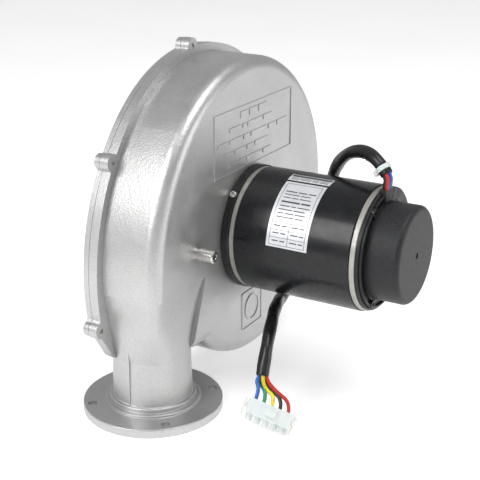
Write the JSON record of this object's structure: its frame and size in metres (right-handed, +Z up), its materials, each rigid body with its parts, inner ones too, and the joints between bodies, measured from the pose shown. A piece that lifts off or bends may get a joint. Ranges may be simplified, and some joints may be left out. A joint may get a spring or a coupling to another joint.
{
  "type": "combustion fan",
  "caption": "Cast scroll blower with a round flanged outlet, coaxial brushless motor with round electronics cap, shrouded impeller and a short supply cable with connector.",
  "frame": {"origin": "centre of the outlet flange's bottom face, where the fan bolts on", "axes": "+Z up, along the outlet pipe and out of the top of the scroll; motor axis parallel to Y, with the motor and its electronics cap towards -Y and the inlet towards +Y"},
  "size_m": [0.282, 0.2201, 0.263],
  "materials": {
    "cast_alu": "satin cast",
    "machined_alu": "machined",
    "black_paint": "gloss black",
    "black_bracket": "satin black",
    "black_cap": "fine texture",
    "steel": "zinc plated",
    "lamination": "stacked laminations",
    "magnet": "coated sintered magnet",
    "copper": "enamelled copper",
    "contact_brass": "plain",
    "gasket": "matte",
    "seal_rubber": "matte",
    "nylon_white": "translucent nylon",
    "insulator": "moulded",
    "cage_steel": "pressed",
    "pcb": "solder resist",
    "component": "moulded",
    "label": "printed film",
    "sleeve": "soft sleeve",
    "insul_blue": "soft insulation",
    "insul_green": "soft insulation",
    "insul_yellow": "soft insulation",
    "insul_black": "soft insulation",
    "insul_red": "soft insulation"
  },
  "bodies": {
    "housing": {"scroll_housing": "cast_alu", "inlet_cover": "cast_alu", "housing_gasket": "gasket", "cover_screws": "steel", "inlet_ring": "machined_alu", "pressure_tap": "machined_alu", "drive_end_bracket": "black_bracket", "drive_end_ring": "machined_alu", "motor_shell": "black_paint", "rear_end_ring": "machined_alu", "rear_end_bracket": "black_bracket", "electronics_cover": "black_cap", "motor_mount_screws": "steel", "through_bolts": "steel", "earth_screw": "steel", "shaft_seal": "seal_rubber", "bearing_outer_rings": "steel", "wave_spring": "steel", "stator_core": "lamination", "slot_insulators": "insulator", "stator_windings": "copper", "winding_leads": "copper", "cable_grommet": "seal_rubber", "control_board": "pcb", "board_capacitors": "component", "power_module": "component", "board_inductor": "component", "board_chips": "component", "wire_terminal_block": "nylon_white", "hall_sensors": "component", "board_screws": "steel", "rating_label": "label", "strip_label": "label", "cable_sleeve": "sleeve", "cable_tie": "nylon_white", "wire_blue": "insul_blue", "wire_green": "insul_green", "wire_yellow": "insul_yellow", "wire_black": "insul_black", "wire_red": "insul_red", "connector_housing": "nylon_white", "connector_terminals": "contact_brass"},
    "rotor": {"motor_shaft": "steel", "rotor_core": "lamination", "rotor_magnets": "magnet", "bearing_inner_rings": "steel", "sensor_magnet": "magnet", "impeller_hub": "machined_alu", "impeller_backplate": "machined_alu", "impeller_blades": "machined_alu", "impeller_shroud": "machined_alu", "hub_rivets": "steel", "impeller_washer": "steel", "impeller_nut": "steel"},
    "bearing_cages": {"bearing_balls": "steel", "bearing_cages": "cage_steel"}
  },
  "joints": [
    {"name": "rotor_spin", "type": "hinge", "parent": "housing", "child": "rotor", "pos_m": [0.096, 0, 0.1195], "axis": [0, -1, 0], "continuous": true},
    {"name": "cage_spin", "type": "hinge", "parent": "housing", "child": "bearing_cages", "pos_m": [0.096, 0, 0.1195], "axis": [0, -1, 0], "continuous": true}
  ],
  "couplings": [
    {"joint": "cage_spin", "follows": "rotor_spin", "ratio": 0.392}
  ]
}
